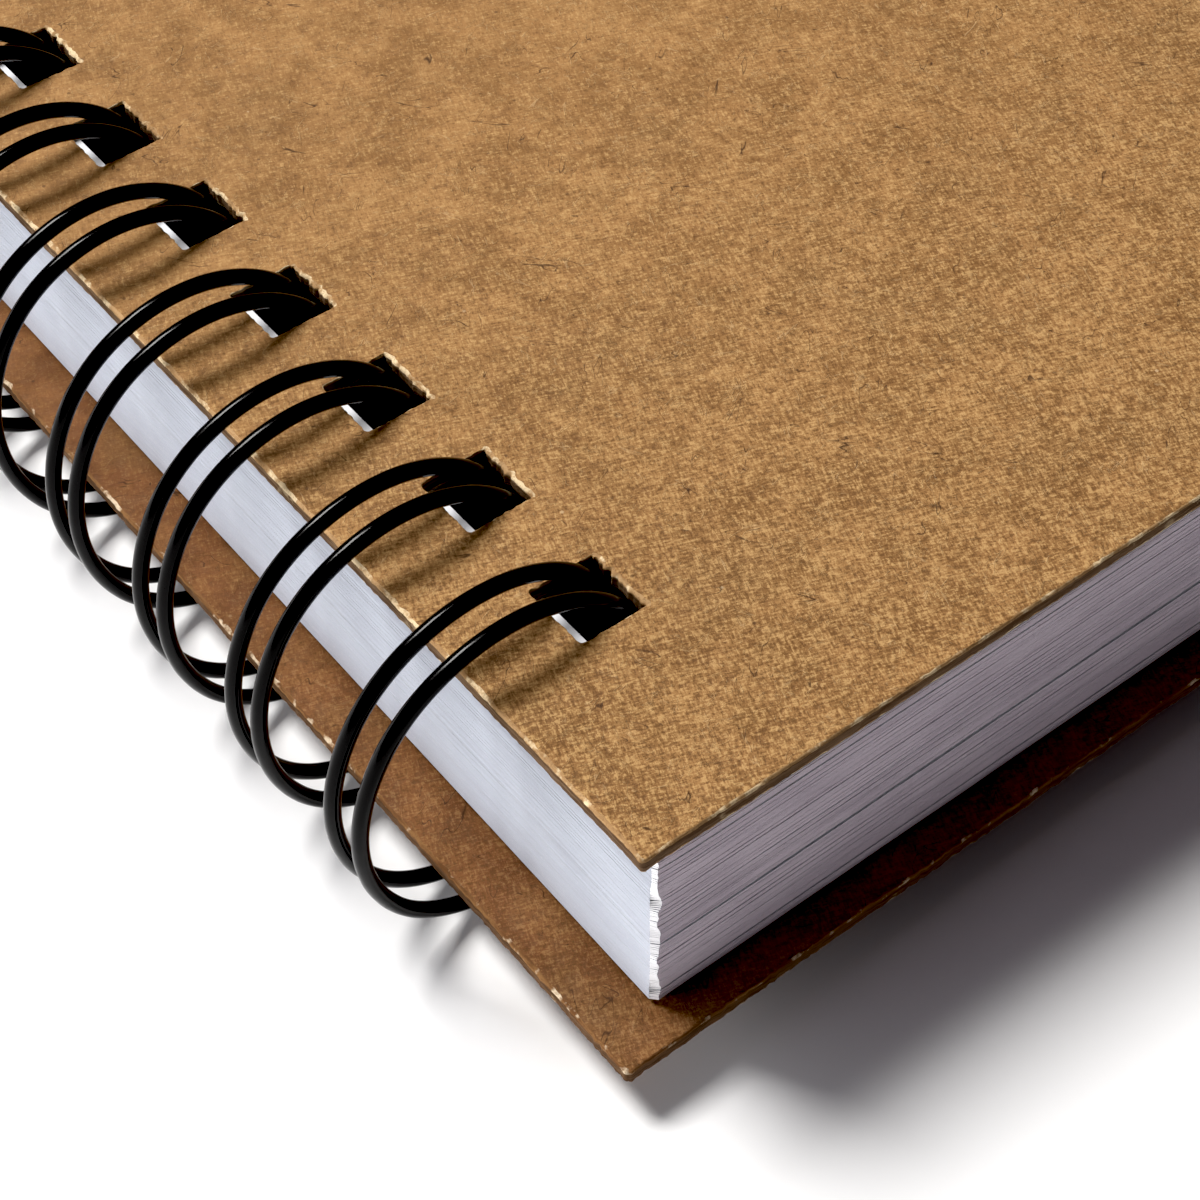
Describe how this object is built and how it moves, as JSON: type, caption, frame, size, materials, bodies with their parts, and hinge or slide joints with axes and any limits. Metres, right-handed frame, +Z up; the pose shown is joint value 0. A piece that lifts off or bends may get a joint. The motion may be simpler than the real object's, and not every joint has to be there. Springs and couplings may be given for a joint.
{
  "type": "wire-bound sketchbook",
  "caption": "Twin-loop wire-bound sketchbook with board covers and drawing sheets that turn about the binding.",
  "frame": {"origin": "centre of the bounding box in X and Y, on the plane that the lowest wire loops touch", "axes": "+X from the spine to the fore edge, +Y along the spine from the bottom edge to the top edge, +Z up out of the front cover"},
  "size_m": [0.2322, 0.286, 0.031],
  "materials": {
    "cover_board": "unbleached kraft board with short fibres and small flecks",
    "coated_wire": "steel wire with a black glossy nylon coat",
    "drawing_paper": "matt white drawing paper"
  },
  "bodies": {
    "back_board": {"back_cover": "cover_board", "binding_wire": "coated_wire"},
    "front_board": {"front_cover": "cover_board"},
    "leaf_01": {"sheets_01": "drawing_paper"},
    "leaf_02": {"sheets_02": "drawing_paper"},
    "leaf_03": {"sheets_03": "drawing_paper"},
    "leaf_04": {"sheets_04": "drawing_paper"},
    "leaf_05": {"sheets_05": "drawing_paper"},
    "leaf_06": {"sheets_06": "drawing_paper"},
    "leaf_07": {"sheets_07": "drawing_paper"},
    "leaf_08": {"sheets_08": "drawing_paper"},
    "leaf_09": {"sheets_09": "drawing_paper"},
    "leaf_10": {"sheets_10": "drawing_paper"},
    "leaf_11": {"sheets_11": "drawing_paper"},
    "leaf_12": {"sheets_12": "drawing_paper"},
    "leaf_13": {"sheets_13": "drawing_paper"},
    "leaf_14": {"sheets_14": "drawing_paper"},
    "leaf_15": {"sheets_15": "drawing_paper"},
    "leaf_16": {"sheets_16": "drawing_paper"},
    "leaf_17": {"sheets_17": "drawing_paper"},
    "leaf_18": {"sheets_18": "drawing_paper"},
    "leaf_19": {"sheets_19": "drawing_paper"},
    "leaf_20": {"sheets_20": "drawing_paper"}
  },
  "joints": [
    {"name": "front_cover_turn", "type": "hinge", "parent": "back_board", "child": "front_board", "pos_m": [-0.1037, 0, 0.018], "axis": [0, -1, 0], "range_deg": [0, 170]},
    {"name": "sheets_01_turn", "type": "hinge", "parent": "back_board", "child": "leaf_01", "pos_m": [-0.1037, 0, 0.018], "axis": [0, -1, 0], "range_deg": [0, 170]},
    {"name": "sheets_02_turn", "type": "hinge", "parent": "back_board", "child": "leaf_02", "pos_m": [-0.1037, 0, 0.018], "axis": [0, -1, 0], "range_deg": [0, 170]},
    {"name": "sheets_03_turn", "type": "hinge", "parent": "back_board", "child": "leaf_03", "pos_m": [-0.1037, 0, 0.018], "axis": [0, -1, 0], "range_deg": [0, 170]},
    {"name": "sheets_04_turn", "type": "hinge", "parent": "back_board", "child": "leaf_04", "pos_m": [-0.1037, 0, 0.018], "axis": [0, -1, 0], "range_deg": [0, 170]},
    {"name": "sheets_05_turn", "type": "hinge", "parent": "back_board", "child": "leaf_05", "pos_m": [-0.1037, 0, 0.018], "axis": [0, -1, 0], "range_deg": [0, 170]},
    {"name": "sheets_06_turn", "type": "hinge", "parent": "back_board", "child": "leaf_06", "pos_m": [-0.1037, 0, 0.018], "axis": [0, -1, 0], "range_deg": [0, 170]},
    {"name": "sheets_07_turn", "type": "hinge", "parent": "back_board", "child": "leaf_07", "pos_m": [-0.1037, 0, 0.018], "axis": [0, -1, 0], "range_deg": [0, 170]},
    {"name": "sheets_08_turn", "type": "hinge", "parent": "back_board", "child": "leaf_08", "pos_m": [-0.1037, 0, 0.018], "axis": [0, -1, 0], "range_deg": [0, 170]},
    {"name": "sheets_09_turn", "type": "hinge", "parent": "back_board", "child": "leaf_09", "pos_m": [-0.1037, 0, 0.018], "axis": [0, -1, 0], "range_deg": [0, 170]},
    {"name": "sheets_10_turn", "type": "hinge", "parent": "back_board", "child": "leaf_10", "pos_m": [-0.1037, 0, 0.018], "axis": [0, -1, 0], "range_deg": [0, 170]},
    {"name": "sheets_11_turn", "type": "hinge", "parent": "back_board", "child": "leaf_11", "pos_m": [-0.1037, 0, 0.018], "axis": [0, -1, 0], "range_deg": [0, 170]},
    {"name": "sheets_12_turn", "type": "hinge", "parent": "back_board", "child": "leaf_12", "pos_m": [-0.1037, 0, 0.018], "axis": [0, -1, 0], "range_deg": [0, 170]},
    {"name": "sheets_13_turn", "type": "hinge", "parent": "back_board", "child": "leaf_13", "pos_m": [-0.1037, 0, 0.018], "axis": [0, -1, 0], "range_deg": [0, 170]},
    {"name": "sheets_14_turn", "type": "hinge", "parent": "back_board", "child": "leaf_14", "pos_m": [-0.1037, 0, 0.018], "axis": [0, -1, 0], "range_deg": [0, 170]},
    {"name": "sheets_15_turn", "type": "hinge", "parent": "back_board", "child": "leaf_15", "pos_m": [-0.1037, 0, 0.018], "axis": [0, -1, 0], "range_deg": [0, 170]},
    {"name": "sheets_16_turn", "type": "hinge", "parent": "back_board", "child": "leaf_16", "pos_m": [-0.1037, 0, 0.018], "axis": [0, -1, 0], "range_deg": [0, 170]},
    {"name": "sheets_17_turn", "type": "hinge", "parent": "back_board", "child": "leaf_17", "pos_m": [-0.1037, 0, 0.018], "axis": [0, -1, 0], "range_deg": [0, 170]},
    {"name": "sheets_18_turn", "type": "hinge", "parent": "back_board", "child": "leaf_18", "pos_m": [-0.1037, 0, 0.018], "axis": [0, -1, 0], "range_deg": [0, 170]},
    {"name": "sheets_19_turn", "type": "hinge", "parent": "back_board", "child": "leaf_19", "pos_m": [-0.1037, 0, 0.018], "axis": [0, -1, 0], "range_deg": [0, 170]},
    {"name": "sheets_20_turn", "type": "hinge", "parent": "back_board", "child": "leaf_20", "pos_m": [-0.1037, 0, 0.018], "axis": [0, -1, 0], "range_deg": [0, 170]}
  ],
  "couplings": [
    {"joint": "sheets_01_turn", "follows": "front_cover_turn", "ratio": 0.9524},
    {"joint": "sheets_02_turn", "follows": "front_cover_turn", "ratio": 0.9048},
    {"joint": "sheets_03_turn", "follows": "front_cover_turn", "ratio": 0.8571},
    {"joint": "sheets_04_turn", "follows": "front_cover_turn", "ratio": 0.8095},
    {"joint": "sheets_05_turn", "follows": "front_cover_turn", "ratio": 0.7619},
    {"joint": "sheets_06_turn", "follows": "front_cover_turn", "ratio": 0.7143},
    {"joint": "sheets_07_turn", "follows": "front_cover_turn", "ratio": 0.6667},
    {"joint": "sheets_08_turn", "follows": "front_cover_turn", "ratio": 0.619},
    {"joint": "sheets_09_turn", "follows": "front_cover_turn", "ratio": 0.5714},
    {"joint": "sheets_10_turn", "follows": "front_cover_turn", "ratio": 0.5238},
    {"joint": "sheets_11_turn", "follows": "front_cover_turn", "ratio": 0.4762},
    {"joint": "sheets_12_turn", "follows": "front_cover_turn", "ratio": 0.4286},
    {"joint": "sheets_13_turn", "follows": "front_cover_turn", "ratio": 0.381},
    {"joint": "sheets_14_turn", "follows": "front_cover_turn", "ratio": 0.3333},
    {"joint": "sheets_15_turn", "follows": "front_cover_turn", "ratio": 0.2857},
    {"joint": "sheets_16_turn", "follows": "front_cover_turn", "ratio": 0.2381},
    {"joint": "sheets_17_turn", "follows": "front_cover_turn", "ratio": 0.1905},
    {"joint": "sheets_18_turn", "follows": "front_cover_turn", "ratio": 0.1429},
    {"joint": "sheets_19_turn", "follows": "front_cover_turn", "ratio": 0.0952},
    {"joint": "sheets_20_turn", "follows": "front_cover_turn", "ratio": 0.0476}
  ]
}
